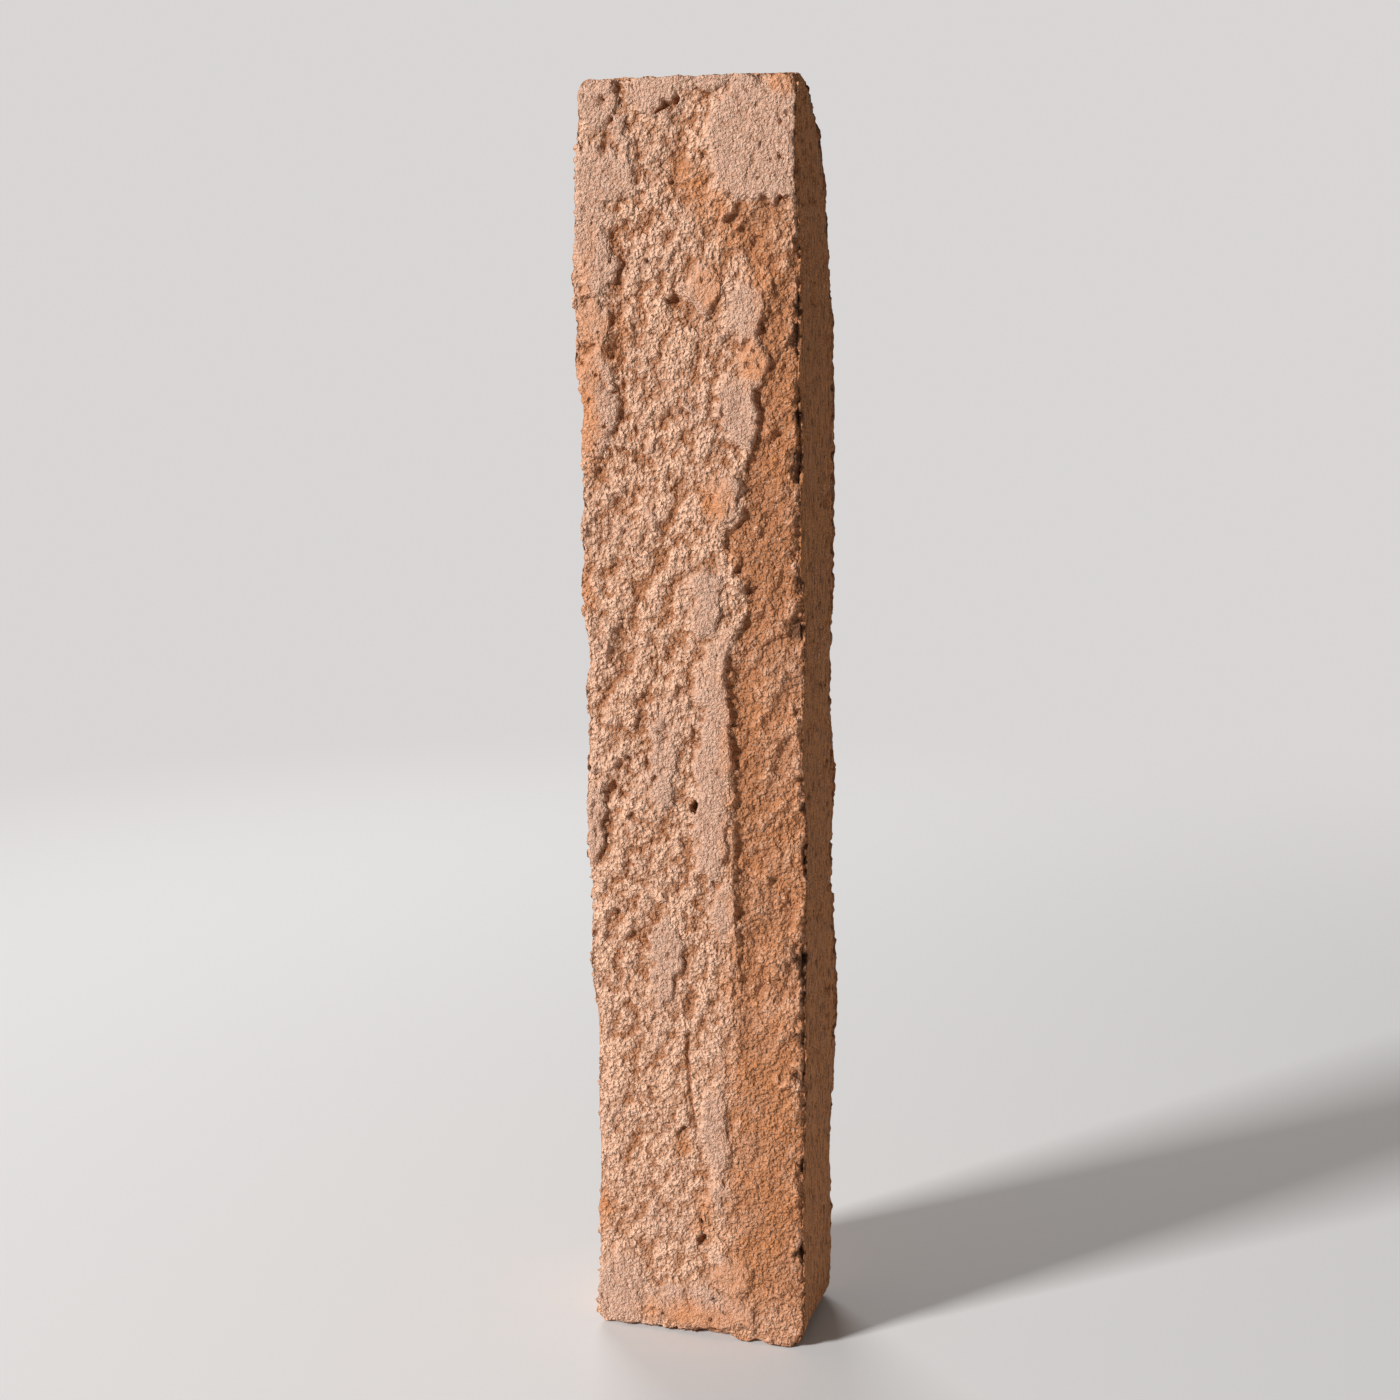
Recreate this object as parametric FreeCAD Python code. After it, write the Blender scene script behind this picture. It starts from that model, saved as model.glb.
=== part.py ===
"""A long terracotta tile: one moulded and fired bar with a hewn face, standing on its end.

Millimetres. +Z runs up the length, +X across the width and +Y from the hewn face to the back.
The origin is the middle of the foot. The section, the wavy arrises, the sunken band of the face,
its holes, the chipped arrises and the lost corner are here; the grain of the clay is not.
"""
import FreeCAD, Part
import math
import os

# ---- driving dimensions -------------------------------------------------------------------
LENGTH = 490.0              # foot to top end
WIDTH = 86.0                # side to side, between the straight parts of the sides
THICKNESS = 54.0            # hewn face to back

LEAN = 2.6                  # how far the top end has drifted to the left in drying
FRONT_ARRIS = 1.0           # worn strip along the edges of the hewn face
BACK_ARRIS = 2.6            # worn strip along the edges of the back
FRONT_LIP = 9.0             # depth over which the wavy front edge runs out into a straight side
BACK_LIP = 12.0             # the same at the back

TOP_LEFT_RADIUS = 5.5       # corners of the outline, as seen from the hewn face
TOP_RIGHT_RADIUS = 2.4
FOOT_LEFT_RADIUS = 4.6
FOOT_RIGHT_BEVEL_WIDTH = 4.6
FOOT_RIGHT_BEVEL_HEIGHT = 8.0

BAND_DEPTH = 1.9            # the sunken band down the right of the face
BAND_RUNOUT_DEPTH = 0.8     # its shallow lower end
FOOT_GAP_DEPTH = 3.5        # how far back the lifted front edge of the foot goes

CORNER_LOSS_DEPTH = 50.0    # the rounded-off top right back corner: front to back,
CORNER_LOSS_HEIGHT = 98.0   # down the back,
CORNER_LOSS_WIDTH = 64.0    # and across the top end,
CORNER_LOSS_FADE = 0.4      # where this little of it is left

# Places on the face are stated on a piece of this length and width, and stretch with the piece.
LAYOUT_LENGTH = 490.0
LAYOUT_WIDTH = 86.0

# Waves of the upright edges: (height, how far the edge stands out), from the foot to the top.
FRONT_LEFT_WAVE = [(5, 1.6), (12, 1.8), (30, 0.0), (45, 0.4), (62, -1.0), (100, -0.6),
                   (131, -1.4), (142, 0.6), (175, 0.9), (235, 1.0), (251, -0.2), (262, 1.0),
                   (275, -0.9), (288, 0.3), (301, 2.4), (314, 1.1), (325, 1.2), (340, -0.4),
                   (358, 0.6), (368, -0.8), (389, 2.3), (400, 1.2), (415, 2.7), (430, 1.2),
                   (452, 0.9), (472, -0.8), (484, -1.5)]
FRONT_RIGHT_WAVE = [(8, 1.4), (25, 1.0), (62, 0.6), (85, 1.4), (130, 1.8), (160, 1.2),
                    (180, 2.0), (208, 2.3), (232, 0.6), (262, 0.8), (286, 2.0), (305, 0.4),
                    (335, 0.2), (358, 1.0), (380, -0.4), (400, 0.4), (430, 0.1), (465, -0.4),
                    (487, 0.8)]
BACK_LEFT_WAVE = [(5, -0.8), (40, 0.3), (78, -0.6), (120, 0.7), (170, -0.3), (215, 0.9),
                  (250, -0.5), (300, 0.6), (345, -0.8), (390, 0.5), (440, -0.4), (484, -1.2)]
BACK_RIGHT_WAVE = [(8, -1.4), (45, -0.5), (76, -0.8), (97, 0.9), (165, 0.9), (182, 0.0),
                   (225, 1.3), (245, -0.2), (263, -0.7), (285, 0.4), (315, 1.3), (345, 1.5),
                   (383, 1.2), (410, 0.4), (450, -0.8), (487, -1.8)]

STRAIGHT = []               # no wave: the middle of the sides

# Left bank of the sunken band, from its ragged upper end down to where it runs out.
BAND_BANK = [(40, 446), (33, 444.5), (27, 446), (21.5, 443), (19, 434), (21, 426), (30, 421),
             (31, 410), (27, 397), (31, 386), (25, 375), (26.5, 367), (23.5, 355), (21, 340),
             (19, 329), (13.5, 323), (14.5, 313), (20, 306), (22, 296), (18, 285), (14.5, 279),
             (14, 263), (16, 243), (16.5, 215), (16.5, 190), (18, 165), (18.5, 145), (20, 125),
             (21, 108)]
RUNOUT_BANK = [(21, 108), (15, 97), (14, 76), (19.5, 62), (21, 42), (25, 18)]

# Holes and deep gouges of the face: both ends of the gouge, its half width and its depth.
GOUGES = [(16.0, 437.0, 20.5, 443.5, 1.9, 3.4), (34.0, 445.2, 38.0, 445.8, 1.3, 2.8),
          (-7.0, 409.6, -5.6, 409.2, 2.0, 3.2), (-6.8, 412.5, -5.4, 417.5, 1.0, 1.4),
          (-27.2, 442.8, -25.4, 446.4, 1.4, 2.2), (0.4, 217.6, 1.0, 219.0, 1.2, 3.2),
          (-6.4, 85.2, -4.6, 86.6, 0.9, 2.8), (1.8, 40.0, 2.4, 41.6, 1.7, 3.8),
          (23.6, 301.0, 24.6, 303.4, 1.9, 4.2), (-14.6, 423.4, -14.4, 423.8, 1.2, 1.5),
          (-33.2, 223.0, -32.6, 225.6, 1.3, 1.8), (-11.0, 477.0, -3.5, 481.5, 1.6, 2.3)]

# Chips along the upright edges: lower and upper end, radius of the chip and how far it bites.
FRONT_RIGHT_CHIPS = [(38.6, 41.4, 2.6, 2.9), (76.0, 78.5, 2.6, 2.1), (111.5, 115.5, 3.0, 2.6),
                     (126.0, 131.5, 3.0, 2.4), (145.0, 153.0, 3.0, 2.3),
                     (155.5, 161.5, 4.2, 3.4), (197.0, 203.5, 3.6, 2.8),
                     (217.0, 225.0, 3.0, 1.9), (286.5, 291.0, 4.2, 3.2),
                     (303.0, 311.5, 3.0, 1.9), (346.5, 358.0, 4.8, 3.8),
                     (366.0, 370.0, 3.8, 2.7), (392.5, 399.0, 4.2, 2.9),
                     (403.5, 410.0, 3.6, 2.2)]
BACK_RIGHT_CHIPS = [(82.0, 87.0, 4.5, 2.4), (186.0, 192.0, 5.0, 2.9), (262.0, 268.0, 4.5, 2.2),
                    (335.5, 337.5, 3.2, 2.4), (357.0, 362.0, 4.8, 3.4)]
BACK_LEFT_CHIPS = [(118.0, 126.0, 4.5, 2.6), (231.0, 236.0, 4.0, 2.4), (402.0, 409.0, 5.0, 3.0)]

# The foot's front edge is lifted clear of the floor, most at the middle.
FOOT_GAP = [(-37, 0.0), (-33, 0.5), (-12, 0.7), (-3, 1.9), (10, 3.0), (14, 2.3), (17, 0.0)]
FOOT_NOTCH = [(22, 0.0), (25.5, 2.0), (29, 0.0)]

GOUGE_FLOOR = 0.55          # a gouge's width at its floor, as a share of that at its mouth
CLEAR = 5.0                 # how far a cutting shape stands out of the piece
TRIM = 0.2                  # what is cut off each end to leave it flat
SPACING = 1.0               # a wave's station this close to a corner is left out
TESSELLATION = 0.02         # how finely the piece is measured when it is centred


def spot(x, z):
    """A place of the layout, in millimetres of this piece."""
    return x * WIDTH / LAYOUT_WIDTH, z * LENGTH / LAYOUT_LENGTH


def at(x, depth, z):
    """The point at a depth behind the hewn face."""
    return FreeCAD.Vector(x, depth - THICKNESS / 2, z)


def drift(z):
    """How far the whole section has moved to the right at a height."""
    return LEAN * (0.5 - z / LENGTH)


def stations(wave):
    """A wave's heights on this piece, with how far the edge stands out there."""
    return [(spot(0, z)[1], stand_out) for z, stand_out in wave]


def offset_at(wave, z):
    """How far a waved edge stands out at a height; a straight edge has no stations."""
    places = stations(wave)
    for (low, first), (high, second) in zip(places, places[1:]):
        if low <= z <= high:
            return first + (second - first) * (z - low) / (high - low)
    if not places:
        return 0.0
    return places[0][1] if z < places[0][0] else places[-1][1]


def spline(points):
    """A smooth edge through the points."""
    curve = Part.BSplineCurve()
    curve.interpolate(points)
    return curve.toShape()


def side_points(depth, wave, side, low, high, inset):
    """Points up one side of the outline; side is -1 for left and 1 for right."""
    between = [z for z, _ in stations(wave) if low + SPACING < z < high - SPACING]
    points = []
    for z in [low] + between + [high]:
        reach = WIDTH / 2 + offset_at(wave, z) - inset
        points.append(at(drift(z) + side * reach, depth, z))
    return points


def side_edge(points):
    """The edge up one side: straight where the side has no wave."""
    if len(points) == 2:
        return Part.LineSegment(*points).toShape()
    return spline(points)


def round_corner(start, end, centre):
    """A quarter circle between two points of the outline."""
    radius = start.sub(centre).Length
    bulge = start.add(end).multiply(0.5).sub(centre).normalize().multiply(radius)
    return Part.Arc(start, centre.add(bulge), end).toShape()


def outline(depth, left_wave, right_wave, inset):
    """The piece's outline, as a closed wire at a depth behind the hewn face."""
    foot = -TRIM
    top = LENGTH + TRIM - inset
    left = side_points(depth, left_wave, -1, foot + FOOT_LEFT_RADIUS, top - TOP_LEFT_RADIUS, inset)
    right = side_points(depth, right_wave, 1, foot + FOOT_RIGHT_BEVEL_HEIGHT,
                        top - TOP_RIGHT_RADIUS, inset)
    top_left = at(left[-1].x + TOP_LEFT_RADIUS, depth, top)
    top_right = at(right[-1].x - TOP_RIGHT_RADIUS, depth, top)
    foot_left = at(left[0].x + FOOT_LEFT_RADIUS, depth, foot)
    foot_right = at(right[0].x - FOOT_RIGHT_BEVEL_WIDTH, depth, foot)
    edges = [Part.LineSegment(foot_left, foot_right).toShape(),
             Part.LineSegment(foot_right, right[0]).toShape(),
             side_edge(right),
             round_corner(right[-1], top_right, at(top_right.x, depth, right[-1].z)),
             Part.LineSegment(top_right, top_left).toShape(),
             round_corner(top_left, left[-1], at(top_left.x, depth, left[-1].z)),
             side_edge(left[::-1]),
             round_corner(left[0], foot_left, at(foot_left.x, depth, left[0].z))]
    return Part.Wire(edges)


def slab(z_low, z_high):
    """A block wider and deeper than the piece, between two heights."""
    wide = WIDTH * 2
    deep = THICKNESS * 2
    return Part.makeBox(wide, deep, z_high - z_low, FreeCAD.Vector(-wide / 2, -deep / 2, z_low))


def bar():
    """The whole bar before anything is taken out of it, trimmed flat at both ends."""
    behind = THICKNESS - BACK_LIP
    front = [outline(0.0, FRONT_LEFT_WAVE, FRONT_RIGHT_WAVE, FRONT_ARRIS),
             outline(FRONT_ARRIS, FRONT_LEFT_WAVE, FRONT_RIGHT_WAVE, 0.0),
             outline(FRONT_LIP, STRAIGHT, STRAIGHT, 0.0)]
    back = [outline(behind, STRAIGHT, STRAIGHT, 0.0),
            outline(THICKNESS - BACK_ARRIS, BACK_LEFT_WAVE, BACK_RIGHT_WAVE, 0.0),
            outline(THICKNESS, BACK_LEFT_WAVE, BACK_RIGHT_WAVE, BACK_ARRIS)]
    core = Part.Face(front[-1]).extrude(FreeCAD.Vector(0, behind - FRONT_LIP, 0))
    lips = [Part.makeLoft(front, True, True), Part.makeLoft(back, True, True)]
    ends = [slab(-CLEAR, 0.0), slab(LENGTH, LENGTH + CLEAR)]
    return core.multiFuse(lips).cut(ends)


def prism(points, start, depth):
    """A cutting block: an outline on the face, from a depth outside it to one inside."""
    ring = points + [points[0]]
    wire = Part.makePolygon([at(x, start, z) for x, z in ring])
    return Part.Face(wire).extrude(FreeCAD.Vector(0, depth - start, 0))


def capsule(start, end, radius):
    """A round-ended rod, the shape of a chip."""
    length = end.sub(start).Length
    rod = Part.makeCylinder(radius, length, start, end.sub(start))
    ends = [Part.makeSphere(radius, start), Part.makeSphere(radius, end)]
    return rod.multiFuse(ends)


def bank_block(bank, depth):
    """What is taken out to the right of a bank, smooth along the bank."""
    places = [spot(x, z) for x, z in bank]
    points = [at(x, -CLEAR, z) for x, z in places]
    outside = WIDTH / 2 + CLEAR + LEAN
    far = [at(outside, -CLEAR, points[-1].z), at(outside, -CLEAR, points[0].z)]
    edges = [spline(points),
             Part.LineSegment(points[-1], far[0]).toShape(),
             Part.LineSegment(far[0], far[1]).toShape(),
             Part.LineSegment(far[1], points[0]).toShape()]
    return Part.Face(Part.Wire(edges)).extrude(FreeCAD.Vector(0, CLEAR + depth, 0))


def stadium(low, high, half_width, depth):
    """A round-ended slot's outline about a line on the face, at a depth."""
    run = FreeCAD.Vector(high[0] - low[0], 0, high[1] - low[1]).normalize().multiply(half_width)
    across = FreeCAD.Vector(-run.z, 0, run.x)
    first = at(low[0], depth, low[1])
    last = at(high[0], depth, high[1])
    edges = [Part.LineSegment(first.add(across), last.add(across)).toShape(),
             Part.Arc(last.add(across), last.add(run), last.sub(across)).toShape(),
             Part.LineSegment(last.sub(across), first.sub(across)).toShape(),
             Part.Arc(first.sub(across), first.sub(run), first.add(across)).toShape()]
    return Part.Wire(edges)


def gouge(x_low, z_low, x_high, z_high, half_width, depth):
    """One hole or gouge of the face, narrowing from its mouth to its floor."""
    low = spot(x_low, z_low)
    high = spot(x_high, z_high)
    narrowing = half_width * (1 - GOUGE_FLOOR) / depth
    mouth = half_width + narrowing * CLEAR
    return Part.makeLoft([stadium(low, high, mouth, -CLEAR),
                          stadium(low, high, half_width * GOUGE_FLOOR, depth)], True, True)


def chip(wave, side, face_depth, outward, low, high, radius, bite):
    """One chip of an upright edge, from a rod that lies along it and bites into it."""
    clear = (radius - bite) / math.sqrt(2)
    ends = []
    for height in (low, high):
        z = spot(0, height)[1]
        x = drift(z) + side * (WIDTH / 2 + offset_at(wave, z) + clear)
        ends.append(at(x, face_depth + outward * clear, z))
    return capsule(ends[0], ends[1], radius)


def foot_block(points):
    """What is missing under the front edge of the foot."""
    raised = [(spot(x, 0)[0], z) for x, z in points]
    below = [(raised[-1][0], -CLEAR), (raised[0][0], -CLEAR)]
    return prism(raised + below, -CLEAR, FOOT_GAP_DEPTH)


def lost_corner():
    """The block that rounds off the top right back corner and fades out to the left."""
    steps = 6

    def ring(x, reach, drop):
        """The rounding's section at one side: an ellipse's quarter and the block round it."""
        points = []
        for step in range(steps + 1):
            turn = math.pi / 2 * step / steps
            depth = THICKNESS - reach * (1 - math.sin(turn))
            points.append(at(x, depth, LENGTH - drop * (1 - math.cos(turn))))
        points += [at(x, THICKNESS + CLEAR, LENGTH - drop),
                   at(x, THICKNESS + CLEAR, LENGTH + CLEAR),
                   at(x, THICKNESS - reach, LENGTH + CLEAR)]
        return Part.makePolygon(points + [points[0]])

    right = WIDTH / 2 + drift(LENGTH)
    growth = 1 + CLEAR / CORNER_LOSS_WIDTH
    start = ring(right + CLEAR, CORNER_LOSS_DEPTH * growth, CORNER_LOSS_HEIGHT * growth)
    end = ring(right - CORNER_LOSS_WIDTH, CORNER_LOSS_FADE, CORNER_LOSS_FADE)
    return Part.makeLoft([start, end], True, True)


def cutters():
    """Everything that is taken out of the bar."""
    blocks = [bank_block(BAND_BANK, BAND_DEPTH), bank_block(RUNOUT_BANK, BAND_RUNOUT_DEPTH)]
    blocks += [gouge(*values) for values in GOUGES]
    blocks += [chip(FRONT_RIGHT_WAVE, 1, 0.0, -1, *values) for values in FRONT_RIGHT_CHIPS]
    blocks += [chip(BACK_RIGHT_WAVE, 1, THICKNESS, 1, *values) for values in BACK_RIGHT_CHIPS]
    blocks += [chip(BACK_LEFT_WAVE, -1, THICKNESS, 1, *values) for values in BACK_LEFT_CHIPS]
    blocks += [foot_block(FOOT_GAP), foot_block(FOOT_NOTCH), lost_corner()]
    return blocks


def terracotta_tile():
    """The finished piece, with the middle of its foot at the origin."""
    piece = bar()
    for block in cutters():
        piece = piece.cut(block)
    across = [point.x for point in piece.tessellate(TESSELLATION)[0]]
    piece.translate(FreeCAD.Vector(-(min(across) + max(across)) / 2, 0, 0))
    return piece


os.makedirs("parts", exist_ok=True)
tile = terracotta_tile()
tile.exportStep("parts/terracotta_tile.step")
print("solids", len(tile.Solids), "valid", tile.isValid(), "volume", round(tile.Volume))
print("box", tile.optimalBoundingBox(False, False))
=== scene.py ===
"""Looks of a long terracotta tile with a hewn face, worked up from its CAD body.

Metres in the scene; the clay's relief is laid out in millimetres on the hewn face, with x across
it from its middle line, z up from the foot and the depth measured back from the face.
"""
import itertools
import math

import bmesh
import bpy
import numpy as np
from mathutils import Matrix, Vector
from mathutils.bvhtree import BVHTree


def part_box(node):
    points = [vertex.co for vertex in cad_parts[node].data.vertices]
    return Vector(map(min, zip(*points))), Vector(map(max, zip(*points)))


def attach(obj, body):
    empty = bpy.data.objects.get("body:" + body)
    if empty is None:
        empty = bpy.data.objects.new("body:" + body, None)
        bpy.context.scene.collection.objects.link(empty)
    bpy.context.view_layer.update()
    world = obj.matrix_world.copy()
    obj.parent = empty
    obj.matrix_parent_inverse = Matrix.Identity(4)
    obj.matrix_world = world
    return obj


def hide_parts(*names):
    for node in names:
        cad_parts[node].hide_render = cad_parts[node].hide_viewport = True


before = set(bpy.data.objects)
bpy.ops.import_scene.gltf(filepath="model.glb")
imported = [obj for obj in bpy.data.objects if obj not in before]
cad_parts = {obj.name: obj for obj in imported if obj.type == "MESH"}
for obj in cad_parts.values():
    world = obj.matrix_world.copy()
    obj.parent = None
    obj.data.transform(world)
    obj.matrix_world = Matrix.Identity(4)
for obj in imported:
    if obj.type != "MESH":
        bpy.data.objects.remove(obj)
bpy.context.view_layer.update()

bl_info = {
    "name": "Hewn Terracotta Tile",
    "version": (1, 0, 0),
    "blender": (4, 5, 0),
    "location": "View3D > Sidebar > Terracotta",
    "description": "Models the fired clay of a hewn terracotta tile and a plain stage for it",
    "category": "Object",
}

NODE = "terracotta_tile"
LOW, HIGH = (Vector(corner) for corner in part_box(NODE))
MM = 1000.0                         # millimetres in a metre
WELD = 0.00001                      # vertices closer than this, in metres, are one
MOST_TRIANGLES = 200000             # making the tile stops with an error unless it stays under this
FACE_MIDDLE = 0.42                  # the face's middle line, right of the box's middle
FACE_REACH = 7                      # what lies deeper than this is not part of the hewn face
DEEPEST_CUT = 5.5                   # the CAD body's cuts are followed no deeper than this
NO_FACE = 60.0                      # the depth noted where nothing lies behind the map

# ---- the stage, in metres and degrees -------------------------------------------------------
KEY_TRAVEL = Vector((0.632, 0.678, -0.375))         # the way the main light falls
KEY_DISTANCE = 4.5
BACK_LAMP = Vector((-1.2, 1.9, 0.9))                # from the tile's middle
BACK_LAMP_SIZE = 1.2
CAMERA_PLACE = Vector((0.2459, -0.758, 0.4107))     # from the foot of the face's middle line
CAMERA_SWING, CAMERA_DIP, CAMERA_ROLL = 17.73, 10.69, -0.46

# ---- the hewn face, in millimetres ----------------------------------------------------------
# Ellipses are (x, z, half width, half height, lean to the right in degrees).
SKIN = [(-35, 482, 9, 9.5, 0), (-12.5, 481, 9.5, 7.5, 20), (0, 488, 24, 3.5, 0),
        (-25.5, 473, 3.2, 5.5, 0), (-33, 455, 13.5, 9, 0), (-37.5, 432, 8, 22, -5),
        (25, 467, 17.5, 22, 0), (37, 453, 6.5, 10, 0), (36, 481, 7, 9, 0),
        (-37.5, 372, 9, 20, 0), (19, 367, 7.5, 13.5, -8), (25.5, 386, 6, 9, 0),
        (22, 405, 7, 13, 25), (6, 414, 6, 8, 0), (8.5, 232, 7.5, 53, 2), (12, 178, 5, 12, 0),
        (-12, 158, 6, 20, 0), (8.5, 82, 4.5, 24, 2), (-33, 15, 11, 14, 0), (2, 11, 25, 9, 0),
        (16, 27, 9, 9, 0), (-12, 232, 5, 18, 0), (14, 337, 5, 8, 15),
        (-37, 401, 6, 8, 0), (-40, 212, 3.5, 20, 0), (6, 296, 6, 12, 0)]
ORANGE = [(0, 453, 8, 8, 0), (9, 442, 8, 7, 0), (18, 433, 7, 7, 0), (27, 424, 6, 9, 0),
          (33, 405, 7, 18, 0), (35, 365, 9, 30, 0), (-40, 385, 6, 42, 0), (-42, 300, 3.5, 12, 0),
          (-31, 395, 8, 9, 0), (6, 8, 27, 6, 0), (15, 24, 9, 8, 0), (37, 486, 6, 5, 0),
          (4, 50, 5, 9, 0), (-5, 79, 3.5, 4, 0), (33, 42, 12, 36, 0), (29, 112, 14, 36, 0),
          (10, 337, 7, 9, 0), (24, 388, 7, 8, 0), (8, 414, 7, 9, 0), (-38, 52, 4, 10, 0)]
# Chips along the right edge, sunk a little and painted dark: mostly their shadow, partly dark
# crumbs.
SHADOWED_CHIPS = [(42.5, 157, 3, 5, 0), (43.8, 149, 1.6, 6, 0), (40.4, 351, 2.8, 6, 0),
           (41, 368, 2.6, 3.6, 0), (41, 396, 2.6, 4.6, 0), (41, 407, 2.2, 4.5, 0),
           (40.5, 288, 3, 4, 0), (44, 200, 1.8, 5, 0), (44.4, 221, 1.5, 5, 0),
           (42.6, 39.6, 3, 1.8, 0), (41, 113, 1.8, 3, 0), (43, 128, 2.4, 3.5, 0),
           (41, 307, 1.8, 5, 0), (43.5, 77, 2, 2.5, 0)]

# Lumps and dents: an ellipse, and how far its middle stands up or is sunk.
LUMPS = [((17, 314, 2.8, 4.2, 10), 3.8), ((22.5, 352, 2, 3, 0), 0.8),
         ((40.6, 352, 2.4, 1.8, 60), 2.2), ((41.6, 118.5, 2.6, 2.5, 0), 3.0),
         ((41.2, 109.5, 2.8, 2.5, 0), 3.0), ((43.8, 124, 0.9, 2.6, 0), 1.4),
         ((-35, 177, 4.5, 4, 0), 1.0), ((-27, 327, 3, 3.5, 0), 0.9),
         ((16.5, 118, 3.5, 3, 30), 0.9), ((18, 305, 4, 2.2, 60), 0.9), ((37, 489, 5, 3, 0), 0.7),
         ((41, 43.5, 3.5, 2.4, 40), 1.2), ((-38, 262, 3, 5, 30), 0.8), ((-31, 193, 3, 3, 0), 0.8),
         ((29, 376, 1.6, 1.4, 0), 0.9), ((-14, 445, 3.5, 4, 0), 0.7), ((-23, 432, 3, 4, 40), 0.7)]
DENTS = [((17.8, 312.5, 4.8, 6.4, 10), 1.7), ((-7, 477.5, 7, 2.0, 60), 1.3),
         ((6.5, 483.5, 3.6, 2.0, 40), 1.5), ((-33, 481.5, 4.2, 1.4, 35), 0.9),
         ((-2.5, 139, 2.6, 10, 0), 1.2), ((2.0, 78, 1.2, 10, 0), 1.1), ((-5.5, 79, 3, 4, 0), 0.7),
         ((22, 115, 1.6, 5, 0), 0.9), ((-6, 262, 2.4, 5, 20), 0.9),
         ((-11.5, 254, 1.6, 5, 0), 0.9), ((-18.5, 434, 1.6, 4, 40), 0.9),
         ((-19, 464, 1.6, 7, 0), 0.9), ((-2, 469, 1.5, 6, 0), 0.8),
         ((-24, 474, 1.2, 5, -35), 0.8), ((14.5, 325, 2.2, 3, 0), 1.2),
         ((-6, 345, 3, 3.5, 0), 0.9), ((16, 275, 2.4, 4, 0), 0.9), ((42, 27, 2.6, 4.5, 30), 1.0),
         ((-35, 20, 1.6, 5, 0), 0.6), ((39.5, 56, 1.2, 8, 0), 0.7), ((42, 74, 2.0, 4.0, 0), 0.8)]
# Small holes, sunk and painted dark as their shadow.
HOLES = [(0.5, 218, 1.1, 1.7, 0), (7, 16.5, 0.9, 0.9, 0), (-14.5, 7, 1.0, 0.8, 0),
         (18.5, 7, 0.8, 0.7, 0), (5.8, 7.2, 0.8, 1.3, 0), (2.2, 49, 0.8, 1.2, 0),
         (-16, 424, 0.9, 1.3, 0)]
# Cracks and grooves: the points along them, half width and depth.
GROOVES = [([(-37.5, 477), (-33, 481), (-29, 484), (-23.5, 484.5)], 0.7, 0.8),
           ([(-27.5, 489), (-26, 485.5), (-24, 484)], 0.5, 0.5),
           ([(-3, 126), (-3.4, 118), (-2.4, 108), (-1.6, 98), (0, 88)], 0.9, 1.3),
           ([(-4.8, 104), (-3.2, 95), (-0.8, 90)], 0.6, 0.9),
           ([(1.5, 52), (2.4, 48), (2, 44)], 0.5, 0.9),
           ([(-6.8, 22.5), (-5, 18), (-3.4, 12), (-2, 10)], 0.7, 1.0),
           ([(-9, 80.5), (-7, 76), (-6, 70)], 0.5, 0.7),
           ([(14.6, 72), (15.4, 85), (14, 96)], 0.6, 0.7),
           ([(-24.5, 99), (-23, 96), (-21.5, 92.5)], 0.5, 0.7),
           ([(-36, 29), (-35.4, 21)], 0.5, 0.6), ([(-35, 16), (-30, 16), (-27.5, 10)], 0.4, 0.6),
           ([(9.6, 168), (9.8, 150), (9.5, 133)], 0.5, 0.6),
           ([(-20, 271), (-20, 240)], 0.35, 0.35), ([(-14.2, 280), (-13.6, 254)], 0.4, 0.5),
           ([(-26.5, 190.5), (-23.5, 194.5)], 0.7, 0.7),
           ([(-30.5, 366), (-28, 360), (-28.4, 352)], 0.6, 0.7),
           ([(-27, 408), (-26, 380), (-26.5, 345)], 0.8, 0.7),
           ([(-21.5, 400), (-21, 372), (-21.5, 350)], 0.7, 0.6),
           ([(-34.5, 381), (-32.5, 378), (-35, 376)], 0.7, 0.9),
           ([(-38, 473.4), (-30, 474)], 0.4, 0.5)]


# ---- noise, over arrays of places in millimetres ---------------------------------------------

def scramble(seed, cell):
    """A repeatable whole number for each cell of a lattice."""
    value = np.full(cell.shape[0], (seed * 2654435761 + 97) % 4294967296, dtype=np.uint32)
    for axis in range(cell.shape[1]):
        value = (value ^ cell[:, axis].astype(np.uint32)) * np.uint32(2246822519)
        value ^= value >> np.uint32(15)
        value *= np.uint32(3266489917)
        value ^= value >> np.uint32(13)
    return value


def bits(value, shift):
    """A number from 0 to 1 out of ten of a whole number's bits."""
    return ((value >> np.uint32(shift)) & np.uint32(1023)).astype(np.float32) / 1023


def noise(places, size, seed):
    """Smooth noise of about -1 to 1; size is the grain's size, or one size for each axis."""
    scaled = places / np.asarray(size, dtype=np.float32)
    cell = np.floor(scaled).astype(np.int64)
    part = (scaled - cell).astype(np.float32)
    fade = part ** 3 * (part * (part * 6 - 15) + 10)
    total = np.zeros(len(places), dtype=np.float32)
    for corner in itertools.product((0, 1), repeat=places.shape[1]):
        step = np.array(corner)
        value = scramble(seed, cell + step)
        slope = np.stack([bits(value, 10 * axis) for axis in range(places.shape[1])], 1) * 2 - 1
        weight = np.prod(np.where(step, fade, 1 - fade), axis=1)
        total += weight * np.sum(slope * (part - step), axis=1)
    return total * 1.7


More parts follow.
